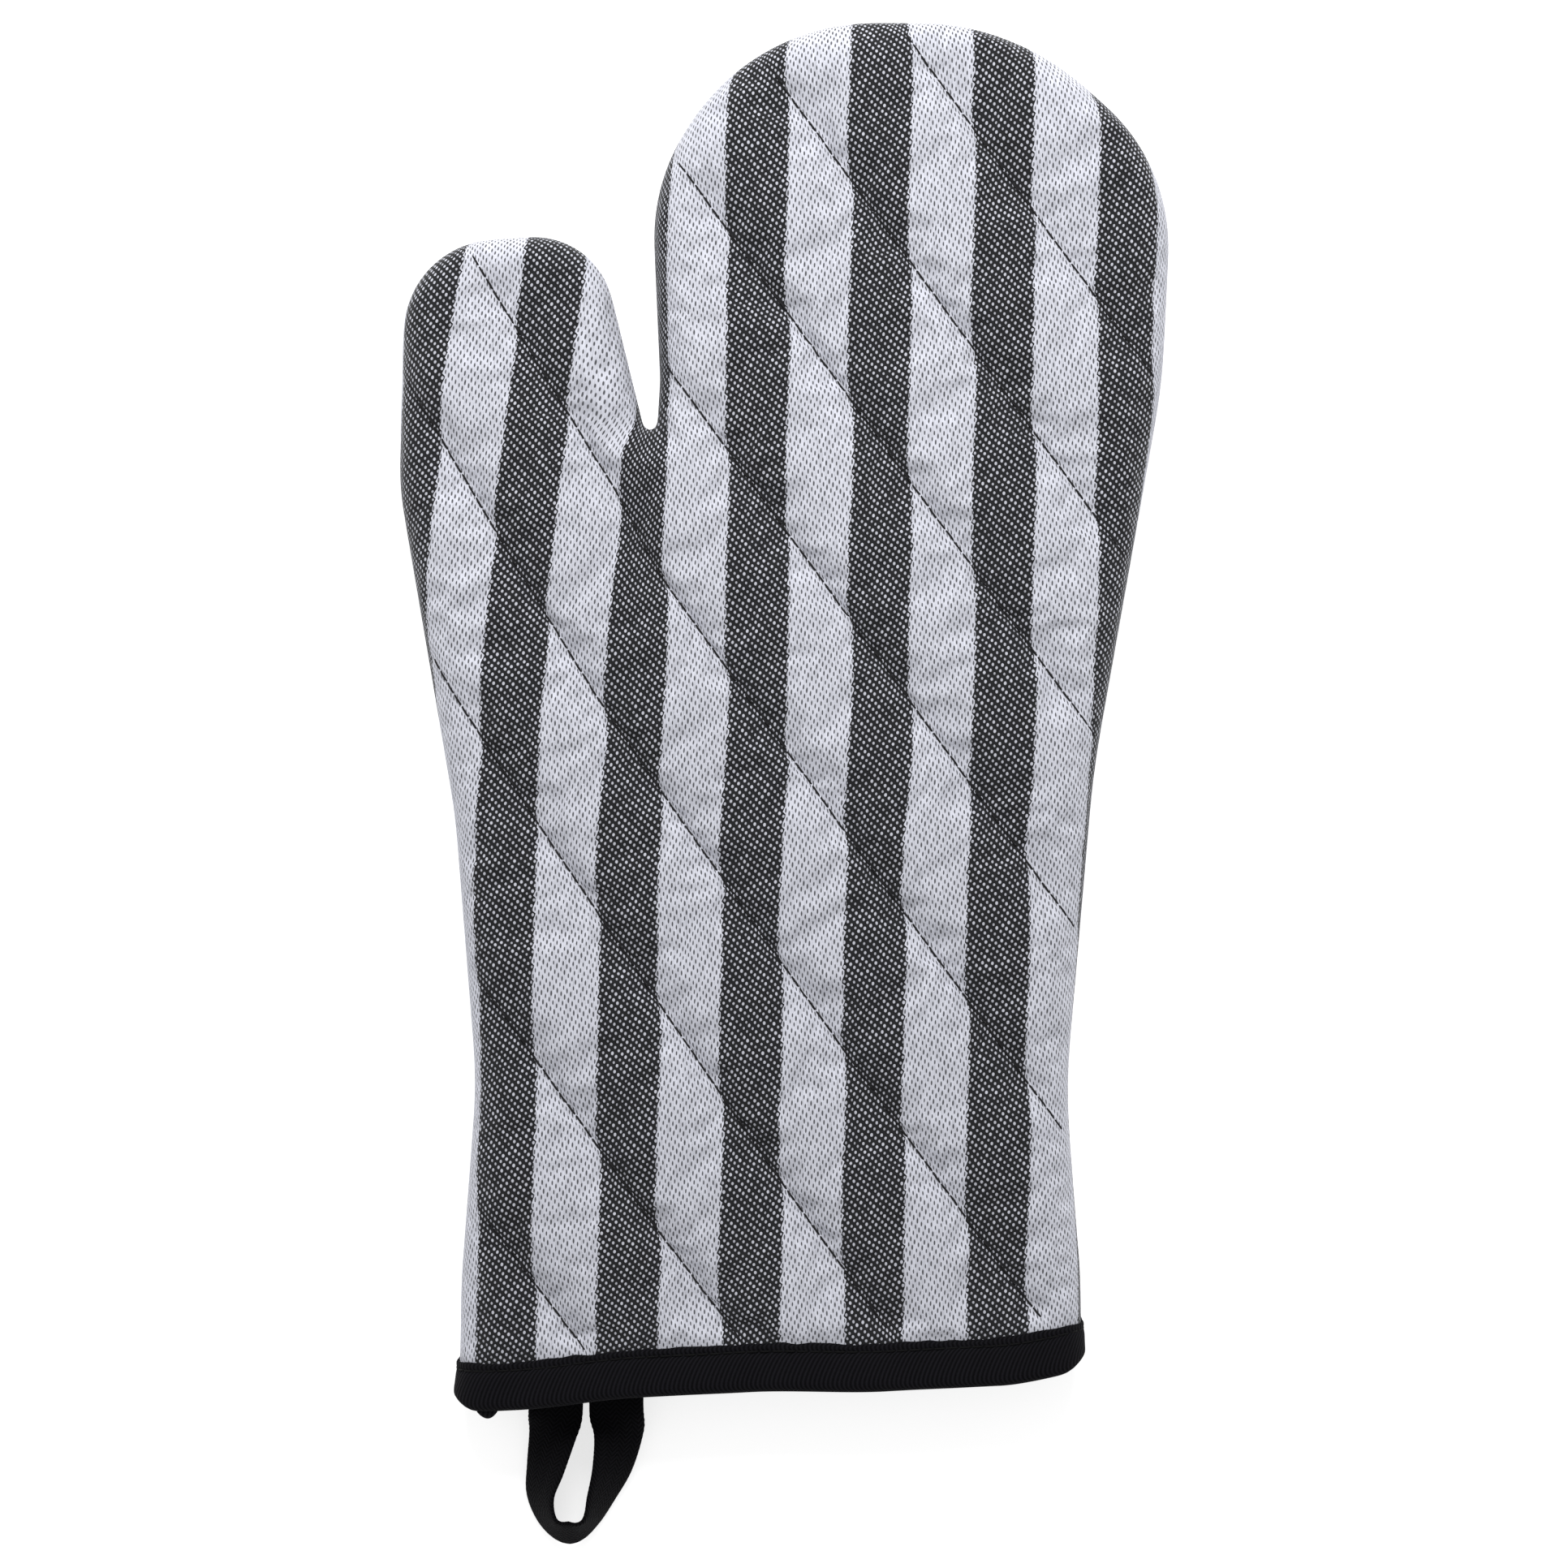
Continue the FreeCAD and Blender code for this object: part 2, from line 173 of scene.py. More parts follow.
SEAM = seam_line()
SEAM_NORMALS = side_normals(SEAM)
CROTCH = min((spot for spot in SEAM if abs(spot[0] + 31) < 4 and spot[1] > 60), key=lambda spot: spot[1])
SEAM_TREE = kdtree.KDTree(len(SEAM))
for number, (x, y) in enumerate(SEAM):
    SEAM_TREE.insert((x, y, 0), number)
SEAM_TREE.balance()


def from_seam(points):
    """How far inside the seam line each point is, negative outside, and the way out from it."""
    nearest = np.array([SEAM_TREE.find((x, y, 0))[1] for x, y in points])
    gap = np.full(len(points), np.inf)
    towards = np.zeros((len(points), 2))
    for before in (0, 1):
        index = np.clip(nearest - before, 0, len(SEAM) - 2)
        run = SEAM[index + 1] - SEAM[index]
        share = ((points - SEAM[index]) * run).sum(1) / (run * run).sum(1)
        reach = SEAM[index] + np.clip(share, 0, 1)[:, None] * run - points
        length = np.hypot(*reach.T)
        closer = length < gap
        gap[closer] = length[closer]
        towards[closer] = reach[closer]
    normal = SEAM_NORMALS[nearest]
    side = np.where((towards * normal).sum(1) >= 0, 1.0, -1.0)
    way_out = towards * (side / np.maximum(gap, 1e-9))[:, None]
    return gap * side, np.where(gap[:, None] > 0.3, way_out, normal)


def thumb_lean(points):
    """How far the thumb's cloth is carried sideways at each point."""
    x, y = points[:, 0], points[:, 1]
    return 9.1 * np.clip((y - 15) / 100, 0, None) ** 1.3 * smoothstep(25, 40, -x)


def row_place(points):
    """Signed distance across straight quilting, from the origin's row, and how far the real rows were
    sewn above that. They climb towards the thumb side, most of all halfway along the mitt."""
    x = points[:, 0] - thumb_lean(points)
    straight = points[:, 1] * math.cos(QUILT_TURN) - x * math.sin(QUILT_TURN)
    reach = np.clip(8 - x, 0, None)
    climb = 0.03 * reach + 0.0004 * reach ** 2
    return straight, climb * np.exp(-((straight + 45) / 32) ** 2)


def from_rows(points):
    """Signed distance across the quilting as it was sewn, from the origin's row."""
    straight, climb = row_place(points)
    return straight - climb


def nearest_row(points):
    """Distance to the nearest quilting row."""
    rows = (QUILT_FIRST_ROW - from_rows(points)) / QUILT_PITCH
    nearest = np.clip(np.round(rows), 0, QUILT_ROWS - 1)
    return np.abs(rows - nearest) * QUILT_PITCH


def row_line(row, step, shift=0.0):
    """Points along one quilting row, right across the mitt."""
    along = np.arange(-260, 260, step)[:, None]
    straight = QUILT_ACROSS * (QUILT_FIRST_ROW - row * QUILT_PITCH + shift) + QUILT_AHEAD * along
    points = straight
    for _ in range(6):
        sewn = straight + QUILT_ACROSS * row_place(points)[1][:, None]
        points = np.column_stack([sewn[:, 0] + thumb_lean(points), sewn[:, 1]])
    return points


def weave_place(points):
    """Where each point lies on the woven cloth: the stripes run along the second number. The thumb's
    stripes lean with it, and each quilted strip was sewn a little askew."""
    x, y = points[:, 0], points[:, 1]
    strip = np.mod((QUILT_FIRST_ROW - from_rows(points)) / QUILT_PITCH, 1)
    skew = 0.55 * (1 - 2 * strip) * smoothstep(0.0, 1.2, nearest_row(points))
    slip = -1.5 * smoothstep(-20, 22, -y)
    # The thumb's inner side is drawn into the crotch.
    past, rise = CROTCH[0] - x, y - CROTCH[1]
    drawn = smoothstep(0, 3, past) * (1 - smoothstep(4, 20, past))
    drawn *= smoothstep(-8, 4, rise) * (1 - smoothstep(10, 34, rise))
    return np.stack([x - thumb_lean(points) - slip - skew - 3.2 * drawn, y], axis=1)


def cuff_wave(points):
    """How far the cuff edge lies above its straight line, fading out in the panel above it."""
    x = points[:, 0]
    wave = 1.5 * smoothstep(-62, -34, x) * (1 - smoothstep(-8, 24, x)) + 2.0 * smoothstep(50, 70, x)
    return wave * (1 - smoothstep(12, 45, across_cuff(points)))


def corner_lift(nearness, up):
    """How far the cuff's corners are drawn up, for points near a side and up from the cuff edge."""
    return 3.0 * nearness ** 2 * np.clip(1 - up / 7, 0, 1)


def panel_height(points, depth):
    """Height above the seam plane of the surface that lies depth under the panel's face."""
    inside, _ = from_seam(points)
    roll = max(ROLL - depth, 3.0)
    rim = RIM * (1 - 0.08 * depth)
    t = np.clip((inside - depth) / roll, 0, 1)
    height = rim + (CROWN - depth - rim) * np.sqrt(1 - (1 - t) ** 2)
    fold = np.clip(1 - nearest_row(points) / (QUILT_PITCH / 2), 0, 1) ** 3
    up = across_cuff(points)
    height -= CHANNEL * fold * smoothstep(2, 14, inside) * smoothstep(11, 17, up) * (1 - 0.1 * depth)
    return height - CUFF_PRESS * smoothstep(-15, -10.5, -up) * smoothstep(0, 6, inside - depth)


# ---------------------------------------------------------------- meshes


def make_mesh(name, vertices, faces, uv=None):
    """A mesh object. Vertices are in millimetres, uv is one pair for each vertex."""
    mesh = bpy.data.meshes.new(name)
    mesh.from_pydata([tuple(v) for v in np.asarray(vertices) * MM], [], [tuple(f) for f in faces])
    if uv is not None:
        layer = mesh.uv_layers.new(name="cloth")
        corners = np.empty(len(mesh.loops), np.int64)
        mesh.loops.foreach_get("vertex_index", corners)
        layer.data.foreach_set("uv", np.asarray(uv, np.float32)[corners].ravel())
    mesh.validate()
    mesh.shade_smooth()
    obj = bpy.data.objects.new(name, mesh)
    bpy.context.scene.collection.objects.link(obj)
    return obj


def add_modifier(obj, kind, **settings):
    modifier = obj.modifiers.new(kind.lower(), kind)
    for key, value in settings.items():
        setattr(modifier, key, value)
    return modifier


def apply_modifiers(obj):
    """Keeps what the modifiers make as the object's own mesh."""
    depsgraph = bpy.context.evaluated_depsgraph_get()
    mesh = bpy.data.meshes.new_from_object(obj.evaluated_get(depsgraph), depsgraph=depsgraph)
    obj.modifiers.clear()
    obj.data = mesh


def face_outward(obj):
    """Turns all faces the same way, with the highest one facing up."""
    bm = bmesh.new()
    bm.from_mesh(obj.data)
    bmesh.ops.recalc_face_normals(bm, faces=bm.faces)
    top = max(bm.faces, key=lambda f: f.calc_center_median().z)
    if top.normal.z < 0:
        bmesh.ops.reverse_faces(bm, faces=bm.faces)
    bm.to_mesh(obj.data)
    bm.free()


def tube_faces(rings, sides):
    """The faces between rings of points that follow one another."""
    faces = []
    for k in range(rings - 1):
        for i in range(sides):
            a, b = k * sides + i, k * sides + (i + 1) % sides
            faces.append((a, a + sides, b + sides, b))
    return faces


def coordinates(mesh):
    flat = np.empty(len(mesh.vertices) * 3)
    mesh.vertices.foreach_get("co", flat)
    return flat.reshape(-1, 3)


def inner_line(inset, step):
    """The seam line brought in by inset, and cut off at the raw edge inside the binding."""
    path = resample(SEAM - SEAM_NORMALS * inset, step)
    keep = across_cuff(path) > RAW_EDGE
    return path[keep.argmax():len(keep) - keep[::-1].argmax()]


def encloses(outline, point):
    """Whether a closed plan line goes round a point."""
    start, end = outline, np.roll(outline, -1, axis=0)
    passes = (start[:, 1] > point[1]) != (end[:, 1] > point[1])
    start, end = start[passes], end[passes]
    share = (point[1] - start[:, 1]) / (end[:, 1] - start[:, 1])
    return bool(np.count_nonzero(start[:, 0] + share * (end[:, 0] - start[:, 0]) > point[0]) % 2)


def panel_plan(inset, step, quilted):
    """Points and triangles of a flat panel whose edge is the seam line brought in by inset. Returns
    the points, the triangles and the row of points along the seam."""
    channel_side = 1.2
    edge = inner_line(inset, step * 0.75)
    cuff_steps = round(np.linalg.norm(edge[0] - edge[-1]) / step)
    cuff = np.linspace(edge[-1], edge[0], cuff_steps + 1)[1:-1]
    border = np.vstack([edge, cuff])
    groups = [border]
    inset_now = inset
    for gap in (0.5, 1.2, 2.0, 2.6):
        inset_now += gap * step / 2.4
        ring = inner_line(inset_now, step * (0.75 + 0.05 * gap))
        groups.append(ring[across_cuff(ring) > RAW_EDGE + 0.6])
    links = [(i, (i + 1) % len(border)) for i in range(len(border))]
    if quilted:
        for row in range(QUILT_ROWS):
            for shift in (0.0, channel_side, -channel_side):
                line = row_line(row, STITCH / 2, shift)
                inside, _ = from_seam(line)
                line = line[(inside > inset + 0.9) & (across_cuff(line) > RAW_EDGE + 1)]
                if shift:
                    near = from_seam(line)[0] < inset_now + 1.0
                    line = line[~near]
                groups.append(line)
    # Even triangles in line with the quilting fill the rest.
    i, j = np.meshgrid(np.arange(-110, 111), np.arange(-130, 131))
    ahead, across = i + 0.5 * (j % 2), 0.866 * j
    lattice = (ahead.reshape(-1, 1) * QUILT_AHEAD + across.reshape(-1, 1) * QUILT_ACROSS) * step
    near_mitt = (np.abs(lattice[:, 0]) < 95) & (lattice[:, 1] > -150) & (lattice[:, 1] < 180)
    lattice = lattice[near_mitt]
    keep = from_seam(lattice)[0] > inset_now + step * 0.55
    keep &= across_cuff(lattice) > RAW_EDGE + step * 0.6
    if quilted:
        keep &= nearest_row(lattice) > channel_side + step * 0.5
    groups.append(lattice[keep])
    points = np.vstack(groups)
    made = delaunay_2d_cdt([Vector(p) for p in points], links, [], 1, 1e-4, True)
    flat = np.array([tuple(v) for v in made[0]])
    middles = np.array([flat[list(t)].mean(0) for t in made[2]])
    place = {source[0]: index for index, source in enumerate(made[3]) if source}
    # A sliver between points of the border is left out where it lies past it.
    on_border = {place[k] for k in range(len(border))}
    triangles = []
    for triangle, middle, gap in zip(made[2], middles, from_seam(middles)[0]):
        if gap > inset and (not on_border.issuperset(triangle) or encloses(border, middle)):
            triangles.append(tuple(triangle))
    return flat, triangles, [place[k] for k in range(len(edge))]


def roll_length(inside, depth):
    """How much longer the cloth is than its plan, from a point of the rolled side to the flat face."""
    t = np.linspace(0, 1, 200)
    rise = (CROWN - depth - RIM) * np.sqrt(1 - (1 - t) ** 2)
    roll = max(ROLL - depth, 3.0)
    steps = np.hypot(np.diff(rise), np.diff(t) * roll)
    left = np.concatenate([np.cumsum(steps[::-1])[::-1], [0]])
    return np.interp((inside - depth) / roll, t, left - (1 - t) * roll)


def panel_sheet(name, depth, step, quilted):
    """One layer of the front panel as an open sheet, tucked in at the seam."""
    flat, triangles, edge = panel_plan(depth, step, quilted)
    height = panel_height(flat, depth)
    inside, way_out = from_seam(flat)
    # The thumb's inner side is drawn tight, so little of its cloth goes over the edge.
    tight = smoothstep(60, 85, flat[:, 1]) * smoothstep(31, 34, -flat[:, 0])
    tight *= smoothstep(0, 0.6, way_out[:, 0])
    rolled = roll_length(inside, depth) * (1 - 0.85 * tight)
    # So is the cloth round the crotch, where the seam pulls it flat.
    rolled *= smoothstep(1, 14, np.hypot(*(flat - CROTCH).T))
    cloth = weave_place(flat) + way_out * rolled[:, None]
    vertices = np.column_stack([flat, SEAM_Z + height])
    faces = list(triangles)
    ring = list(edge)
    normals = way_out[edge]
    tuck_length = 0.0
    for inward, rise, length in ((0.0, 0.5, 1.0), (0.55, 0.12, 0.8)):
        tuck_length += length
        base = len(vertices)
        plan = flat[edge] - normals * inward
        vertices = np.vstack([vertices, np.column_stack([plan, SEAM_Z + height[edge] * rise])])
        cloth = np.vstack([cloth, cloth[edge] + normals * tuck_length])
        fresh = list(range(base, base + len(edge)))
        faces += [(ring[k + 1], ring[k], fresh[k], fresh[k + 1]) for k in range(len(edge) - 1)]
        ring = fresh
    nearness = 1 - np.clip((from_seam(vertices[:, :2])[0] - depth) / 5, 0, 1)
    vertices[:, 1] += corner_lift(nearness, across_cuff(vertices[:, :2]))
    obj = make_mesh(name, vertices, faces, cloth)
    face_outward(obj)
    return obj


def puff(obj):
    """Lets the cloth between the quilting rows swell and wrinkle. Its rows, seam and cuff are held.
    The simulation runs at ten times the real size, which suits its solver."""
    scale = 10.0
    last_frame = 22
    furthest = 2.6 * MM
    rest = coordinates(obj.data)
    plan = rest[:, :2] / MM
    inside, _ = from_seam(plan)
    low = rest[:, 2] / MM < SEAM_Z + RIM + 0.3
    up = across_cuff(plan)
    held = low | (inside < 0.6) | (nearest_row(plan) < 0.25) | (up < 12.5)
    swell = np.array([noise.noise(Vector((p[0] / 9, p[1] / 9, 3.1))) for p in plan])
    swell += 0.6 * np.array([noise.noise(Vector((p[0] / 4, p[1] / 4, 7.7))) for p in plan])
    start = rest.copy()
    start[:, 2] += np.where(held, 0, swell * 0.25 * MM)
    obj.data.vertices.foreach_set("co", (start * scale).ravel())
    group = obj.vertex_groups.new(name="held")
    group.add([int(i) for i in np.flatnonzero(held)], 1.0, "REPLACE")
    cloth = obj.modifiers.new("cloth", "CLOTH")
    settings = cloth.settings
    settings.quality = 6
    settings.mass = 0.3
    settings.tension_stiffness = 12
    settings.compression_stiffness = 12
    settings.shear_stiffness = 4
    settings.bending_stiffness = 0.25
    settings.vertex_group_mass = "held"
    settings.shrink_min = -0.045
    settings.shrink_max = -0.045
    settings.use_pressure = True
    settings.uniform_pressure_force = 0.6
    settings.effector_weights.gravity = 0
    cloth.collision_settings.use_collision = False
    scene = bpy.context.scene
    cloth.point_cache.frame_start = 1
    cloth.point_cache.frame_end = last_frame
    for step in range(1, last_frame + 1):
        scene.frame_set(step)
    depsgraph = bpy.context.evaluated_depsgraph_get()
    swollen = coordinates(obj.evaluated_get(depsgraph).data) / scale
    obj.modifiers.clear()
    obj.vertex_groups.clear()
    scene.frame_set(1)
    shift = swollen - rest
    shift[:, :2] *= 0.5 + 0.5 * smoothstep(1, 6, inside)[:, None]
    length = np.linalg.norm(shift, axis=1)
    shift *= (np.minimum(length, furthest) / np.maximum(length, 1e-9))[:, None]
    moved = rest + shift
    moved[:, 2] = np.maximum(moved[:, 2], rest[:, 2] - 0.5 * MM)
    moved[:, 2] = np.minimum(moved[:, 2], (2 * SEAM_Z + 0.6) * MM)
    obj.data.vertices.foreach_set("co", moved.ravel())
    obj.data.update()


def thicken(obj, depth, thickness):
    """Closes a panel sheet into a layer, drawn inward square to the panel's rounded form."""
    outer = coordinates(obj.data) / MM
    inside, way_out = from_seam(outer[:, :2])
    roll = max(ROLL - depth, 3.0)
    level = 1 - np.clip((inside - depth) / roll, 0, 1)
    tucked = outer[:, 2] < SEAM_Z + RIM - 0.05
    level[tucked] = 1.0
    inward = -np.column_stack([way_out * level[:, None], np.sqrt(1 - level ** 2)])
    inner = outer + inward * thickness
    count = len(outer)
    faces = [tuple(face.vertices) for face in obj.data.polygons]
    sides = [side for face in faces for side in zip(face, face[1:] + face[:1])]
    known = set(sides)
    border = [(a, b) for a, b in sides if (b, a) not in known]
    closed = faces + [tuple(i + count for i in face[::-1]) for face in faces]
    closed += [(b, a, a + count, b + count) for a, b in border]
    layer = obj.data.uv_layers["cloth"]
    place = np.zeros((count, 2))
    for loop, spot in zip(obj.data.loops, layer.data):
        place[loop.vertex_index] = spot.uv
    thick = make_mesh(obj.name + "_layer", np.vstack([outer, inner]), closed, np.vstack([place, place]))
    obj.data, old = thick.data, obj.data
    bpy.data.objects.remove(thick)
    bpy.data.meshes.remove(old)


def bend_cuff(obj):
    """Bends a finished piece to the wave that the cuff edge lies in."""
    points = coordinates(obj.data) / MM
    points[:, 1] += cuff_wave(points)
    obj.data.vertices.foreach_set("co", (points * MM).ravel())
    obj.data.update()


def mirrored(obj, name):
    """The same piece on the back panel."""
    mesh = obj.data.copy()
    mesh.name = name
    points = coordinates(mesh)
    points[:, 2] = 2 * SEAM_Z * MM - points[:, 2]
    mesh.vertices.foreach_set("co", points.ravel())
    mesh.flip_normals()
    copy = bpy.data.objects.new(name, mesh)
    bpy.context.scene.collection.objects.link(copy)
    return copy


# ---------------------------------------------------------------- stitches


def tube(points, normals, radius, sides=6):
    """Vertices and faces of a closed thin tube along a short line."""
    tangent = np.gradient(points, axis=0)
    tangent /= np.linalg.norm(tangent, axis=1)[:, None]
    side = np.cross(tangent, normals)
    side /= np.linalg.norm(side, axis=1)[:, None]
    up = np.cross(side, tangent)
    turn = np.arange(sides) * 2 * math.pi / sides
    rings = points[:, None] + radius * (
        np.cos(turn)[None, :, None] * side[:, None] + np.sin(turn)[None, :, None] * up[:, None])
    vertices = rings.reshape(-1, 3)
    faces = tube_faces(len(points), sides)
    last = (len(points) - 1) * sides
    faces.append(tuple(range(sides)))
    faces.append(tuple(last + s for s in range(sides))[::-1])
    return vertices, faces


def stitch_row(name, holes, normals, radius=0.24, lift=0.12, dive=0.45):
    """A row of lockstitches: one thread over each gap between two holes, down into both."""
    share = np.array([0.0, 0.06, 0.2, 0.5, 0.8, 0.94, 1.0])
    rise = np.array([-dive, 0.0, lift, lift * 1.2, lift, 0.0, -dive])
    inset = 0.07
    vertices, faces = [], []
    for k in range(len(holes) - 1):
        gap = np.linalg.norm(holes[k + 1] - holes[k])
        if gap > 1.6 * STITCH or gap < 0.3 * STITCH:
            continue
        normal = normals[k] + normals[k + 1]
        normal /= np.linalg.norm(normal)
        sideways = np.cross(normal, holes[k + 1] - holes[k]) / gap
        sway = 0.12 * noise.noise(Vector(holes[k]) * 0.7)
        line = holes[k] + (inset + share[:, None] * (1 - 2 * inset)) * (holes[k + 1] - holes[k])
        line = line + rise[:, None] * normal + sideways * sway * np.sin(share * math.pi)[:, None]
        thread, thread_faces = tube(line, np.tile(normal, (len(line), 1)), radius)
        base = sum(len(v) for v in vertices)
        vertices.append(thread)
        faces += [tuple(base + i for i in face) for face in thread_faces]
    return make_mesh(name, np.vstack(vertices), faces)


def surface_tree(obj):
    return BVHTree.FromPolygons([v.co for v in obj.data.vertices], [p.vertices for p in obj.data.polygons])


def on_surface(tree, plan, height):
    """The nearest points of a surface, with the surface's normals there, in millimetres."""
    spots, normals = [], []
    for (x, y), z in zip(plan, height):
        location, normal, _, _ = tree.find_nearest(Vector((x, y, z)) * MM)
        spots.append(np.array(location) / MM)
        normals.append(np.array(normal))
    return np.array(spots), np.array(normals)


# ---------------------------------------------------------------- cuff


def mouth_ring(up, depth, count=360):
    """Points round the mouth, up from the cuff edge and depth under the face, from the middle of the
    back panel round by the thumb side. Also how near each is to a side, from 1 at the seam to 0, and
    how far round the ring it lies."""
    line = CUFF_UP * (CUFF_LINE + up) + CUFF_AHEAD * np.linspace(-90, 90, 1801)[:, None]
    inside, _ = from_seam(line)
    line = line[inside > depth]
    span = np.linspace(0, 1, 400)
    ease = 0.5 - 0.5 * np.cos(np.pi * span)
    plan = line[0] + (line[-1] - line[0]) * ease[:, None]
    inside = np.minimum(np.linalg.norm(plan - line[0], axis=1), np.linalg.norm(plan - line[-1], axis=1))
    roll = max(ROLL - depth, 3.0)
    rim = RIM * (1 - 0.08 * depth)
    crown = CROWN - CUFF_PRESS - depth
    height = rim + (crown - rim) * np.sqrt(1 - (1 - np.clip(inside / roll, 0, 1)) ** 2)
    front = np.column_stack([plan, SEAM_Z + height, inside])
    back = np.column_stack([plan, SEAM_Z - height, inside])[::-1]
    middle = len(back) // 2
    loop = np.vstack([back[middle:], front, back[:middle + 1]])
    steps = np.linalg.norm(np.diff(loop[:, :3], axis=0), axis=1)
    along = np.concatenate([[0], np.cumsum(steps)])
    wanted = np.linspace(0, along[-1], count, endpoint=False)
    ring = np.stack([np.interp(wanted, along, column) for column in loop.T], axis=1)
    return ring[:, :3], 1 - np.clip(ring[:, 3] / 5, 0, 1), wanted


def ring_facing(ring, up):
    """The way that each point of a mouth ring faces, out from the middle of the cuff's layers."""
    middle, _, _ = mouth_ring(up, 3.0, len(ring))
    facing = ring - middle
    return facing / np.maximum(np.linalg.norm(facing, axis=1), 1e-6)[:, None]


# The binding's path over the raw edge: up from the cuff edge, and depth under the panel's face.
BINDING_PATH = [
    (11.5, -0.25), (11.35, -0.62), (10.6, -0.72), (9.9, -0.55), (9.6, -0.42), (9.3, -0.55),
    (8.4, -0.78), (6.6, -0.85), (4.6, -0.88), (2.6, -0.85), (1.3, -0.66), (0.5, -0.2), (0.05, 0.7),
    (-0.1, 2.0), (-0.15, 3.3), (-0.1, 4.6), (0.15, 5.6), (0.8, 6.3), (1.9, 6.52), (4.0, 6.55),
    (6.8, 6.55), (9.3, 6.5), (9.6, 6.42), (9.9, 6.5), (10.8, 6.55), (11.1, 6.4),
]


def make_binding():
    """The tape folded over the raw edge all the way round the mouth, with its folded end."""
    count = 420
    rings, cloth = [], []
    across = 0.0
    previous = None
    for up, depth in BINDING_PATH:
        ring, sideness, along = mouth_ring(up, depth, count)
        outward = ring_facing(ring, up)
        pucker = np.array([noise.noise(Vector((a / 3.2, up / 5, 1.3))) for a in along])
        ripple = np.array([noise.noise(Vector((a / 14, up / 9, 5.2))) for a in along])
        near_stitch = math.exp(-abs(up - BINDING_STITCH_LINE) / 2)
        outer = 1.0 if depth < 3 else 0.4
        ring = ring + outward * (0.3 * near_stitch * pucker + 0.2 * ripple)[:, None] * outer
        edge_wander = 0.5 * pucker if up > BINDING_STITCH_LINE + 0.5 and depth < 3 else 0.12 * ripple
        ring[:, 1] += corner_lift(sideness, up) + edge_wander
        if previous is not None:
            across += np.linalg.norm(ring - previous, axis=1).mean()
        previous = ring
        rings.append(ring)
        cloth.append(np.column_stack([along, np.full(count, across)]))
    vertices = np.vstack(rings)
    faces = tube_faces(len(rings), count)
    tape = make_mesh("binding_tape", vertices, faces, np.vstack(cloth))
    face_outward(tape)
    add_modifier(tape, "SOLIDIFY", thickness=0.45 * MM, offset=-1.0)
    add_modifier(tape, "SUBSURF", levels=1, render_levels=1)
    apply_modifiers(tape)
    bend_cuff(tape)
    return tape


def make_nub():
    """The tape's folded end, standing out of the cuff edge on the thumb side of the front panel."""
    columns, rows = 7, 9
    place, half_width, stands_out = -76.2, 2.5, 2.3
    vertices, faces, cloth = [], [], []
    for layer in (0, 1):
        for r in range(rows):
            for c in range(columns):
                side = c / (columns - 1) * 2 - 1
                turn = math.pi * r / (rows - 1)
                thick = 0.55 * layer
                along = place + side * (half_width - 0.25 * layer)
                reach = -0.6 - (stands_out - thick) * math.sin(turn) * (1 - 0.8 * side * side)
                rise = 6.9 + (2.2 - thick) * math.cos(turn) + 0.15 * side
                plan = CUFF_UP * (CUFF_LINE + reach + 0.9) + CUFF_AHEAD * along
                vertices.append((plan[0], plan[1], SEAM_Z + rise))
                cloth.append((along, 6 * r / rows + 3 * layer))

    def index(layer, r, c):
        return layer * rows * columns + r * columns + c

    for layer in (0, 1):
        for r in range(rows - 1):
            for c in range(columns - 1):
                face = (index(layer, r, c), index(layer, r, c + 1), index(layer, r + 1, c + 1),
                        index(layer, r + 1, c))
                faces.append(face if layer else face[::-1])
    border = [(0, c) for c in range(columns)] + [(r, columns - 1) for r in range(1, rows)]
    border += [(rows - 1, c) for c in range(columns - 2, -1, -1)] + [(r, 0) for r in range(rows - 2, 0, -1)]
    for k in range(len(border)):
        a, b = border[k], border[(k + 1) % len(border)]
        faces.append((index(0, *a), index(0, *b), index(1, *b), index(1, *a)))
    nub = make_mesh("binding_tape_end", vertices, faces, cloth)
    face_outward(nub)
    add_modifier(nub, "SUBSURF", levels=2, render_levels=2)
    apply_modifiers(nub)
    bend_cuff(nub)
    return nub


# ---------------------------------------------------------------- hanging loop

# The webbing's route, close to the CAD loop's but a little longer: the middle of the webbing, the
# way it heads in plan and how far it has rolled on to its edge. It starts and ends under the tack
# inside the mouth.
LOOP_ROUTE = [
    (-53.7, -128.0, 8.25, -90, 0),
    (-53.7, -137.0, 8.25, -90, 0),
    (-53.7, -147.4, 8.2, -92, 0),
    (-54.5, -153.0, 8.0, -99, 28),
    (-56.2, -161.0, 7.5, -99, 45),
    (-57.4, -168.0, 6.7, -83, 58),
    (-55.1, -174.3, 6.5, -45, 65),
    (-50.5, -176.4, 6.5, 0, 57),
    (-45.8, -174.0, 6.5, 47, 71),
    (-43.0, -168.0, 6.7, 67, 60),
    (-40.4, -161.0, 7.5, 74, 45),
    (-38.9, -153.0, 8.0, 86, 28),
    (-39.4, -147.4, 8.2, 92, 0),
    (-39.4, -137.0, 8.25, 90, 0),
    (-39.4, -128.0, 8.25, 90, 0),
]


def smooth_route(route, per_run):
    """Catmull-Rom points through the route."""
    route = np.array(route, float)
    padded = np.vstack([2 * route[0] - route[1], route, 2 * route[-1] - route[-2]])
    points = []
    for k in range(1, len(padded) - 2):
        a, b, c, d = padded[k - 1:k + 3]
        for t in np.linspace(0, 1, per_run, endpoint=False):
            points.append(0.5 * (2 * b + (c - a) * t + (2 * a - 5 * b + 4 * c - d) * t ** 2
                                 + (3 * b - a - 3 * c + d) * t ** 3))
    points.append(route[-1])
    return np.array(points)


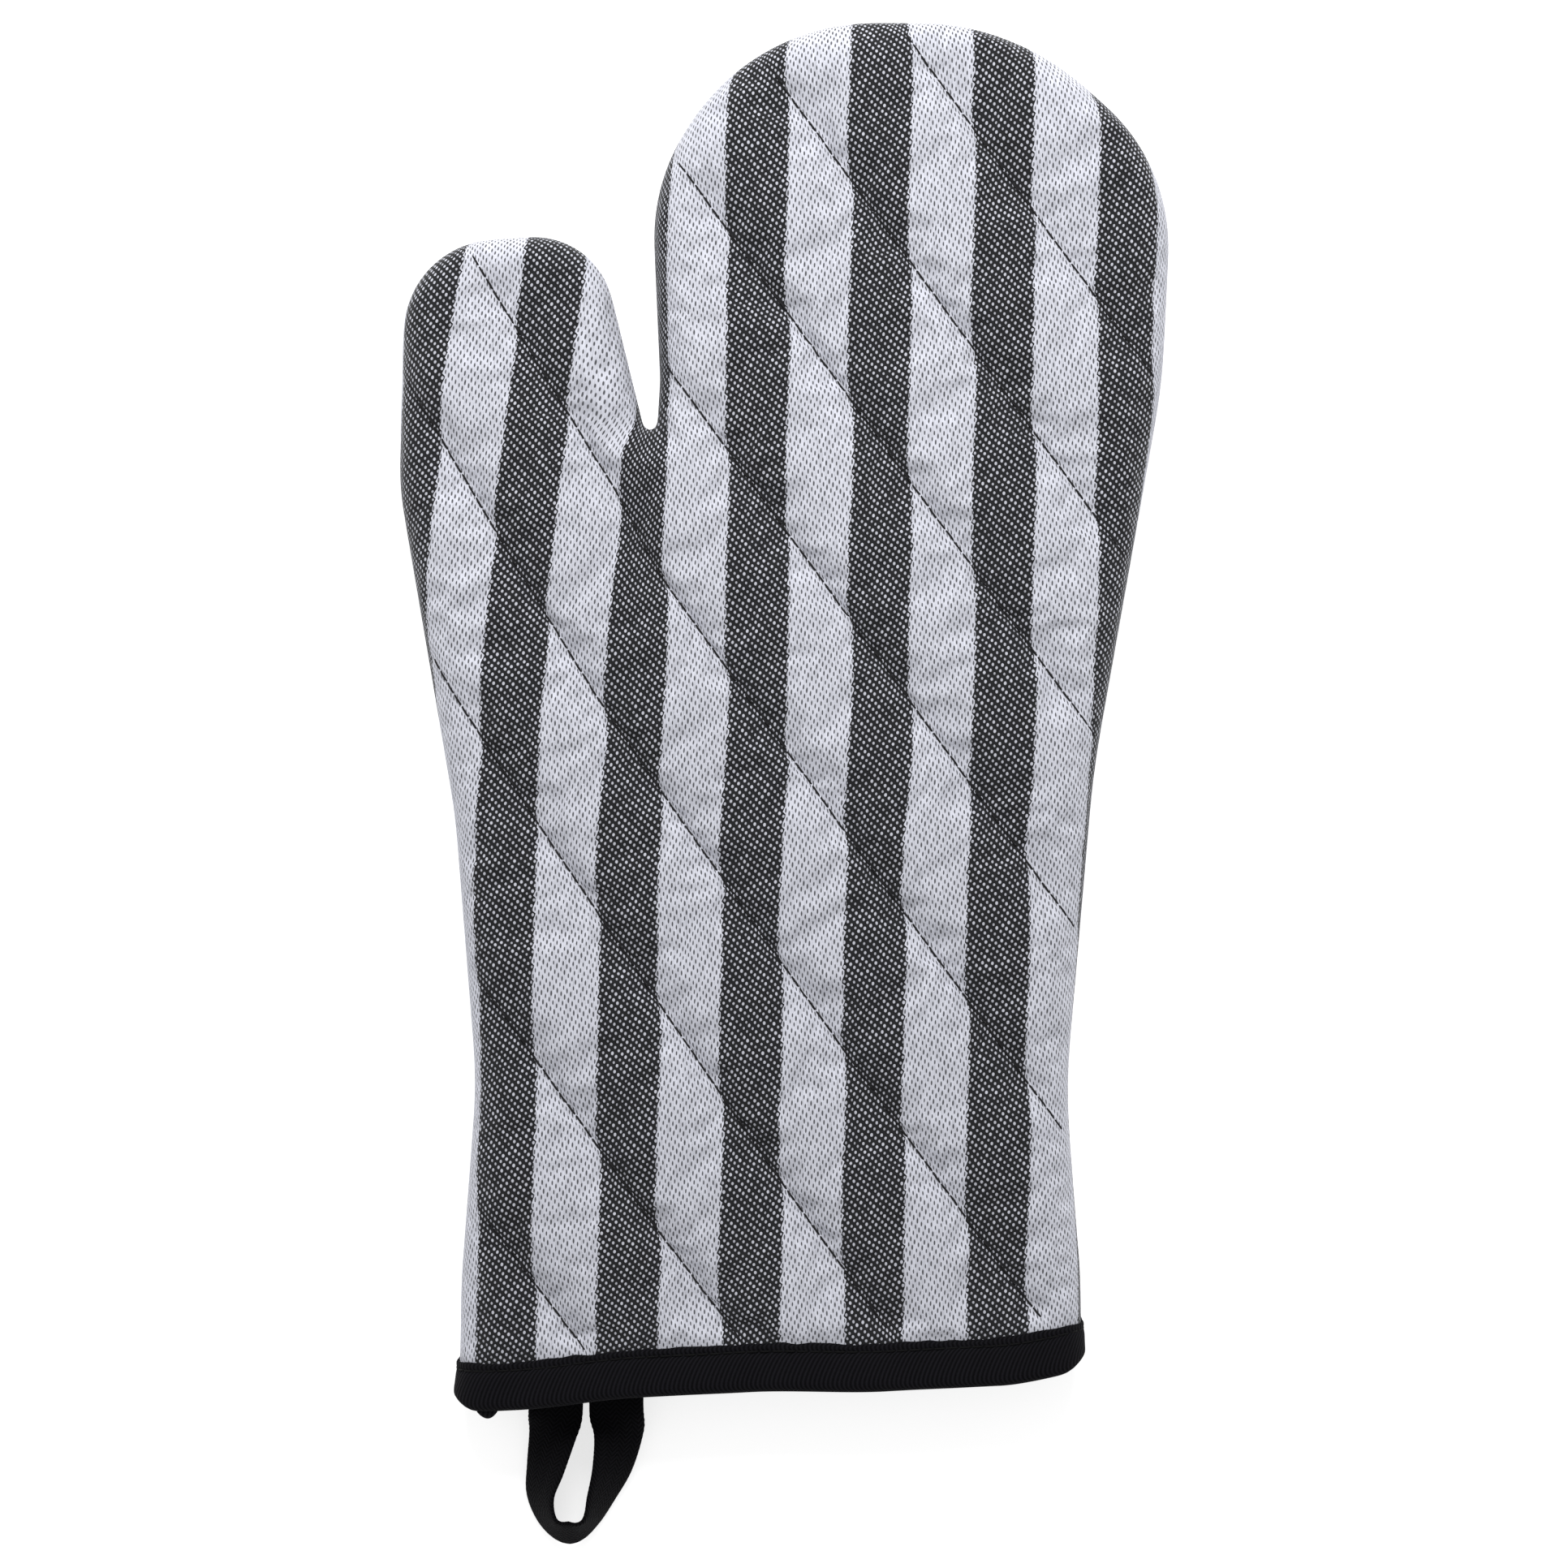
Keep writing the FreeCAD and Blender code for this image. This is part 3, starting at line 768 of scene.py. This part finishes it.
def make_loop():
    """One length of webbing with a rounded, slightly bumpy selvedge."""
    half_width, half_thickness = 6.5, 0.6
    route = smooth_route(LOOP_ROUTE, 14)
    along = np.concatenate([[0], np.cumsum(np.linalg.norm(np.diff(route[:, :3], axis=0), axis=1))])
    across = np.array([-1.0, -0.94, -0.8, -0.55, -0.28, 0.0, 0.28, 0.55, 0.8, 0.94, 1.0])
    full = np.array([0.35, 0.8, 1.0, 0.98, 0.98, 0.94, 0.98, 0.98, 1.0, 0.8, 0.35])
    profile = [(a, t) for a, t in zip(across, full)] + [(a, -t) for a, t in zip(across[::-1], full)]
    vertices, cloth = [], []
    for (x, y, z, heading, roll), s in zip(route, along):
        turn = (Euler((0, 0, math.radians(heading + 90))).to_matrix()
                @ Euler((math.radians(90), 0, 0)).to_matrix()
                @ Euler((0, 0, math.radians(roll))).to_matrix())
        for a, t in profile:
            width = half_width * (1 - 0.012 + 0.012 * math.sin(s * 2 * math.pi / 1.3)) * a
            bump = 1 + 0.05 * noise.noise(Vector((s / 5, a * 2, 0.4)))
            spot = Vector((x, y, z)) + turn @ Vector((width, half_thickness * t * bump, 0))
            vertices.append(tuple(spot))
            cloth.append((s, a * half_width))
    size = len(profile)
    faces = tube_faces(len(route), size)
    last = (len(route) - 1) * size
    faces.append(tuple(range(size)))
    faces.append(tuple(last + i for i in range(size))[::-1])
    webbing = make_mesh("hanging_loop_webbing", vertices, faces, cloth)
    face_outward(webbing)
    add_modifier(webbing, "SUBSURF", levels=1, render_levels=1)
    apply_modifiers(webbing)
    return webbing


# ---------------------------------------------------------------- materials


class Term:
    """A number in a material, so that patterns read as plain arithmetic."""

    def __init__(self, graph, socket):
        self.graph = graph
        self.socket = socket

    def __add__(self, other):
        return self.graph.math("ADD", self, other)

    def __radd__(self, other):
        return self.graph.math("ADD", other, self)

    def __sub__(self, other):
        return self.graph.math("SUBTRACT", self, other)

    def __rsub__(self, other):
        return self.graph.math("SUBTRACT", other, self)

    def __mul__(self, other):
        return self.graph.math("MULTIPLY", self, other)

    def __rmul__(self, other):
        return self.graph.math("MULTIPLY", other, self)

    def __truediv__(self, other):
        return self.graph.math("DIVIDE", self, other)


SHADER_SOCKETS = {
    "roughness": "Roughness",
    "specular": "Specular IOR Level",
    "sheen": "Sheen Weight",
    "sheen_roughness": "Sheen Roughness",
    "emission": "Emission Strength",
}


class Graph:
    """A material and the nodes that make its pattern."""

    def __init__(self, name):
        self.material = bpy.data.materials.new(name)
        self.material.use_nodes = True
        self.nodes = self.material.node_tree.nodes
        self.links = self.material.node_tree.links
        self.shader = self.nodes["Principled BSDF"]

    def feed(self, socket, value):
        if isinstance(value, Term):
            self.links.new(value.socket, socket)
        else:
            socket.default_value = value

    def math(self, operation, *values):
        node = self.nodes.new("ShaderNodeMath")
        node.operation = operation
        for socket, value in zip(node.inputs, values):
            self.feed(socket, value)
        return Term(self, node.outputs[0])

    def vector(self, *values):
        node = self.nodes.new("ShaderNodeCombineXYZ")
        for socket, value in zip(node.inputs, values):
            self.feed(socket, value)
        return Term(self, node.outputs[0])

    def split(self, vector):
        node = self.nodes.new("ShaderNodeSeparateXYZ")
        self.links.new(vector, node.inputs[0])
        return [Term(self, output) for output in node.outputs]

    def cloth_place(self):
        node = self.nodes.new("ShaderNodeUVMap")
        node.uv_map = "cloth"
        u, v, _ = self.split(node.outputs[0])
        return u, v

    def object_place(self):
        """The point in millimetres."""
        node = self.nodes.new("ShaderNodeTexCoord")
        return [part * 1000.0 for part in self.split(node.outputs["Object"])]

    def noise(self, place, scale=1.0, detail=2.0):
        node = self.nodes.new("ShaderNodeTexNoise")
        self.links.new(place.socket, node.inputs["Vector"])
        node.inputs["Scale"].default_value = scale
        node.inputs["Detail"].default_value = detail
        return Term(self, node.outputs[0])

    def random(self, place):
        node = self.nodes.new("ShaderNodeTexWhiteNoise")
        node.noise_dimensions = "3D"
        self.links.new(place.socket, node.inputs["Vector"])
        return Term(self, node.outputs[0])

    def ramp(self, value, low, high):
        """0 up to low, 1 from high, and a smooth step between."""
        node = self.nodes.new("ShaderNodeMapRange")
        node.interpolation_type = "SMOOTHSTEP"
        self.feed(node.inputs["Value"], value)
        node.inputs["From Min"].default_value = low
        node.inputs["From Max"].default_value = high
        return Term(self, node.outputs[0])

    def blend(self, share, low, high):
        return low + share * (high - low)

    def tint(self, value, colour):
        """A grey value as a colour, with the given balance."""
        return self.vector(value * colour[0], value * colour[1], value * colour[2])

    def finish(self, colour, bump=None, bump_mm=0.1, strength=1.0, **settings):
        self.links.new(colour.socket, self.shader.inputs["Base Color"])
        if bump is not None:
            node = self.nodes.new("ShaderNodeBump")
            node.inputs["Distance"].default_value = bump_mm * MM
            node.inputs["Strength"].default_value = strength
            self.links.new(bump.socket, node.inputs["Height"])
            self.links.new(node.outputs[0], self.shader.inputs["Normal"])
        for name, value in settings.items():
            self.shader.inputs[SHADER_SOCKETS[name]].default_value = value
        return self.material


def weave_material():
    """Heavy two-tone cotton in broad stripes. In the dark stripes only dots of white yarn show on the
    black; the light stripes are white floats with dark dashes at the crossings."""
    g = Graph("striped_weave")
    u, v = g.cloth_place()
    # The lattice of crossings: each repeat is one step along (0.47, 1.34) or (0.83, -0.745).
    s = u * 0.5096 + v * 0.5677
    t = u * 0.9166 - v * 0.3215
    s_whole, t_whole = g.math("ROUND", s), g.math("ROUND", t)
    f, h = s - s_whole, t - t_whole
    qx = f * 0.47 + h * 0.83
    qy = f * 1.34 - h * 0.745
    chance = g.random(g.vector(s_whole, t_whole, 0.0))
    wander = g.noise(g.vector(u * 0.35, v * 0.35, 2.0), 1.0, 2.0)
    jitter_x = qx + (chance - 0.5) * 0.1
    stripe = g.math("FRACT", (u - qx * 0.6 + 13.1) / STRIPE_REPEAT)
    dark = 1.0 - g.ramp(stripe, (DARK_STRIPE - 0.08) / STRIPE_REPEAT, (DARK_STRIPE + 0.08) / STRIPE_REPEAT)
    size = 0.85 + chance * 0.3
    dot = g.math("SQRT", g.math("POWER", jitter_x / 0.27, 2.0) + g.math("POWER", qy / 0.36, 2.0)) / size
    dash = g.math("SQRT", g.math("POWER", jitter_x / 0.17, 2.0) + g.math("POWER", qy / 0.54, 2.0)) / size
    dots = 1.0 - g.ramp(dot, 0.8, 1.2)
    dashes = 1.0 - g.ramp(dash, 0.75, 1.25)
    streaks = g.noise(g.vector(u * 1.6, v * 0.22, 4.0), 1.0, 3.0)
    cloud = g.noise(g.vector(u * 0.03, v * 0.03, 9.0), 1.0, 2.0)
    fuzz = g.noise(g.vector(u * 3.1, v * 3.1, 1.0), 1.0, 2.0)
    yarn = g.math("SINE", (u - v * 0.06) * (2 * math.pi / YARN)) * 0.5 + 0.5
    white = 0.7 * (0.5 + streaks * 0.62 + fuzz * 0.25 + yarn * 0.1) * (0.9 + cloud * 0.2)
    light_stripe = g.blend(dashes, white, 0.05 + streaks * 0.12)
    dot_tone = 0.52 * (0.7 + chance * 0.35 + fuzz * 0.25)
    dark_stripe = g.blend(dots, 0.012 + fuzz * 0.012, dot_tone)
    tone = g.blend(dark, light_stripe, dark_stripe)
    relief_light = (1.0 - dashes) * (0.75 + yarn * 0.25)
    relief_dark = dots * 0.9 + fuzz * 0.2
    relief = g.blend(dark, relief_light, relief_dark) + wander * 0.15
    colour = g.tint(tone, (0.955, 0.97, 1.075))
    return g.finish(colour, relief, 0.16, 0.55, roughness=0.92, sheen=0.12, sheen_roughness=0.5,
                    specular=0.15)


def twill_material(name, base, pitch, lean, herringbone=0.0):
    """Black tape with fine diagonal ribs, which turn over in bands for herringbone."""
    g = Graph(name)
    u, v = g.cloth_place()
    side = v
    if herringbone:
        side = g.math("PINGPONG", v + 100.0 * herringbone, herringbone)
    ribs = g.math("SINE", (u + side * lean) * (2 * math.pi / pitch)) * 0.5 + 0.5
    fuzz = g.noise(g.vector(u * 2.0, v * 2.0, 1.0), 1.0, 3.0)
    patches = g.noise(g.vector(u * 0.12, v * 0.12, 5.0), 1.0, 2.0)
    tone = base * (0.05 + ribs * 1.3 + fuzz * 0.7 + patches * 0.25)
    colour = g.tint(tone, (1.0, 0.95, 1.2))
    relief = ribs * 0.8 + fuzz * 0.5
    return g.finish(colour, relief, 0.2, 0.9, roughness=0.9, sheen=0.01, sheen_roughness=0.4,
                    specular=0.06)


def felt_material():
    """Needled cotton wadding: matted fibres and the odd fleck of seed."""
    g = Graph("wadding_felt")
    x, y, z = g.object_place()
    place = g.vector(x, y, z)
    fibres = g.noise(place, 0.9, 5.0)
    clumps = g.noise(place, 0.12, 2.0)
    flecks = g.ramp(g.noise(place, 0.6, 1.0), 0.72, 0.75)
    tone = 0.66 + fibres * 0.22 + clumps * 0.1 - flecks * 0.25
    colour = g.tint(tone, (1.0, 0.985, 0.93))
    return g.finish(colour, fibres, 0.5, 0.8, roughness=0.95, sheen=0.2)


def lining_material():
    """Plain woven charcoal cotton."""
    g = Graph("lining_cotton")
    u, v = g.cloth_place()
    warp = g.math("SINE", u * (2 * math.pi / 0.55))
    weft = g.math("SINE", v * (2 * math.pi / 0.55))
    weave = warp * weft * 0.5 + 0.5
    fuzz = g.noise(g.vector(u * 1.2, v * 1.2, 3.0), 1.0, 3.0)
    tone = 0.03 + weave * 0.018 + fuzz * 0.03
    colour = g.tint(tone, (1.0, 0.99, 1.08))
    return g.finish(colour, weave + fuzz * 0.4, 0.1, 0.7, roughness=0.9, sheen=0.08)


def thread_material(name, tone):
    """Spun sewing thread with its twist."""
    g = Graph(name)
    x, y, z = g.object_place()
    twist = g.math("SINE", (x + y * 1.7 + z) * (2 * math.pi / 0.5)) * 0.5 + 0.5
    fuzz = g.noise(g.vector(x, y, z), 2.2, 2.0)
    colour = g.tint(tone * (0.6 + twist * 0.5 + fuzz * 0.4), (1.0, 0.98, 1.05))
    return g.finish(colour, twist, 0.06, 0.8, roughness=0.7, specular=0.12)


def floor_material():
    """Plain pale studio floor."""
    g = Graph("pale_floor")
    x, y, _ = g.object_place()
    grain = g.noise(g.vector(x * 0.01, y * 0.01, 0.0), 1.0, 2.0)
    colour = g.tint(0.72 + grain * 0.02, (1.0, 1.0, 1.0))
    g.shader.inputs["Emission Color"].default_value = (1, 1, 1, 1)
    return g.finish(colour, roughness=0.9, emission=0.71, specular=0.1)


# ---------------------------------------------------------------- the pieces


def set_up(obj, material, slot, *replaced):
    """Material and body of a piece that moves with the mitt; the slot argument is not used."""
    obj.data.materials.clear()
    obj.data.materials.append(material)
    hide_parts(*replaced)
    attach(obj, "mitt")
    return obj


striped = weave_material()
felt = felt_material()
lining_cloth = lining_material()
tape_twill = twill_material("binding_twill", 0.0066, 1.05, 0.27)
webbing_twill = twill_material("loop_herringbone", 0.0036, 1.1, 1.0, herringbone=1.6)
quilting_thread = thread_material("quilting_thread", 0.02)
black_thread = thread_material("black_thread", 0.005)

shell = panel_sheet("front_shell_cloth", 0.0, 2.4, quilted=True)
puff(shell)
wadding = panel_sheet("front_wadding_felt", WADDING_DEPTH, 3.4, quilted=True)
lining = panel_sheet("front_lining_cloth", LINING_DEPTH, 3.4, quilted=True)
for layer, depth, thickness, levels in (
    (shell, 0.0, SHELL_THICKNESS, 1),
    (wadding, WADDING_DEPTH, WADDING_THICKNESS, 0),
    (lining, LINING_DEPTH, LINING_THICKNESS, 1),
):
    thicken(layer, depth, thickness)
    if levels:
        add_modifier(layer, "SUBSURF", levels=levels, render_levels=levels)
        apply_modifiers(layer)
    bend_cuff(layer)
shell_tree = surface_tree(shell)
lining_tree = surface_tree(lining)

back = {layer: mirrored(layer, layer.name.replace("front", "back")) for layer in (shell, wadding, lining)}
for layer, material, slot, part in (
    (shell, striped, "quilted_shell", "shell"),
    (wadding, felt, "wadding", "wadding"),
    (lining, lining_cloth, "lining", "lining"),
):
    set_up(layer, material, slot, f"front_{part}")
    set_up(back[layer], material, slot, f"back_{part}")

# Quilting: each row has its stitches on the face and its bobbin thread on the lining.
for row in range(QUILT_ROWS):
    holes = row_line(row, STITCH)
    inside, _ = from_seam(holes)
    up = across_cuff(holes)
    on_face = holes[(inside > 1.3) & (up > BINDING_WIDTH + 0.6)]
    on_lining = holes[(inside > INNER_FACE + 2.5) & (up > BINDING_WIDTH + 0.6)]
    face_height = SEAM_Z + panel_height(on_face, 0.0)
    on_face[:, 1] += cuff_wave(on_face)
    spots, normals = on_surface(shell_tree, on_face, face_height)
    top = stitch_row(f"front_quilt_stitches_{row + 1}", spots, normals)
    inner_height = SEAM_Z + panel_height(on_lining, INNER_FACE)
    on_lining[:, 1] += cuff_wave(on_lining)
    spots, normals = on_surface(lining_tree, on_lining, inner_height - 0.4)
    bobbin = stitch_row(f"front_bobbin_stitches_{row + 1}", spots, normals)
    for piece, kind in ((top, "thread"), (bobbin, "bobbin")):
        twin = mirrored(piece, piece.name.replace("front", "back"))
        set_up(piece, quilting_thread, "thread", f"front_quilt_{kind}_{row + 1}")
        set_up(twin, quilting_thread, "thread", f"back_quilt_{kind}_{row + 1}")

# Side seam: stitches that join the two linings all round the cavity.
seam_path = resample(SEAM - SEAM_NORMALS * (INNER_FACE + 0.7), STITCH)
seam_path = seam_path[across_cuff(seam_path) > BINDING_WIDTH + 0.5]
seam_holes = np.column_stack([seam_path, np.full(len(seam_path), SEAM_Z)])
seam_faces = np.column_stack([-side_normals(seam_path), np.zeros(len(seam_path))])
seam_stitches = stitch_row("side_seam_stitches", seam_holes, seam_faces, radius=0.3)
set_up(seam_stitches, black_thread, "thread", "side_seam_thread")

# Cuff binding and its two rounds of stitches.
binding = set_up(make_binding(), tape_twill, "binding_tape", "cuff_binding")
nub = set_up(make_nub(), tape_twill, "binding_tape")
for name, depth, replaced in (
    ("binding_topstitches", -0.45, "binding_thread"),
    ("binding_inner_stitches", 6.45, "binding_inner_thread"),
):
    ring, _, _ = mouth_ring(BINDING_STITCH_LINE, depth, 110)
    facing = ring_facing(ring, BINDING_STITCH_LINE)
    ring[:, 1] += cuff_wave(ring)
    closed = np.vstack([ring, ring[:1]])
    row = stitch_row(name, closed, np.vstack([facing, facing[:1]]), radius=0.22)
    set_up(row, black_thread, "thread", replaced)

# Hanging loop: it bends at the cuff edge, between its sewn ends and its free part.
webbing = make_loop()
webbing.data.materials.append(webbing_twill)
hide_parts("hang_loop", "hang_loop_ends")
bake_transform(webbing)

# Tack: three close rows of stitches across both ends of the webbing.
tack_low, tack_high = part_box("loop_tack_thread")
rows = []
for offset in (-0.7, 0.0, 0.7):
    start, end = tack_low.x / MM + 0.8, tack_high.x / MM - 0.8
    count = round((end - start) / 2.2)
    x = np.linspace(start, end, count + 1)
    y = np.full(len(x), (tack_low.y + tack_high.y) / 2 / MM + offset)
    rows.append(np.column_stack([x, y, np.full(len(x), 8.9)]))
tack_holes = np.vstack([rows[0], rows[1][::-1], rows[2]])
tack = stitch_row("loop_tack_stitches", tack_holes, np.tile([0.0, 0.0, 1.0], (len(tack_holes), 1)))
set_up(tack, black_thread, "thread", "loop_tack_thread")

# ---------------------------------------------------------------- stage, light and camera

floor_mesh = bpy.data.meshes.new("floor")
floor_mesh.from_pydata([(-4, -4, 0), (4, -4, 0), (4, 4, 0), (-4, 4, 0)], [], [(0, 1, 2, 3)])
floor = bpy.data.objects.new("floor", floor_mesh)
bpy.context.scene.collection.objects.link(floor)
floor_mesh.materials.append(floor_material())


def area_light(name, place, size, power):
    light = bpy.data.lights.new(name, "AREA")
    light.shape = "SQUARE"
    light.size = size
    light.energy = power
    lamp = bpy.data.objects.new(name, light)
    lamp.location = place
    lamp.rotation_euler = (-Vector(place)).to_track_quat("-Z", "Y").to_euler()
    bpy.context.scene.collection.objects.link(lamp)


area_light("key", (0.0, 0.62, 0.58), 0.42, 5.6)

world = bpy.data.worlds.new("studio")
world.use_nodes = True
world.node_tree.nodes["Background"].inputs["Color"].default_value = (1, 1, 1, 1)
world.node_tree.nodes["Background"].inputs["Strength"].default_value = 0.46
bpy.context.scene.world = world
bpy.context.scene.view_settings.view_transform = "Standard"

camera = bpy.data.objects.new("camera", bpy.data.cameras.new("camera"))
camera.data.lens = 85
camera.data.sensor_width = 36
camera.data.clip_start = 0.05
camera.location = (0, 0, 0.8788)
bpy.context.scene.collection.objects.link(camera)
bpy.context.scene.camera = camera
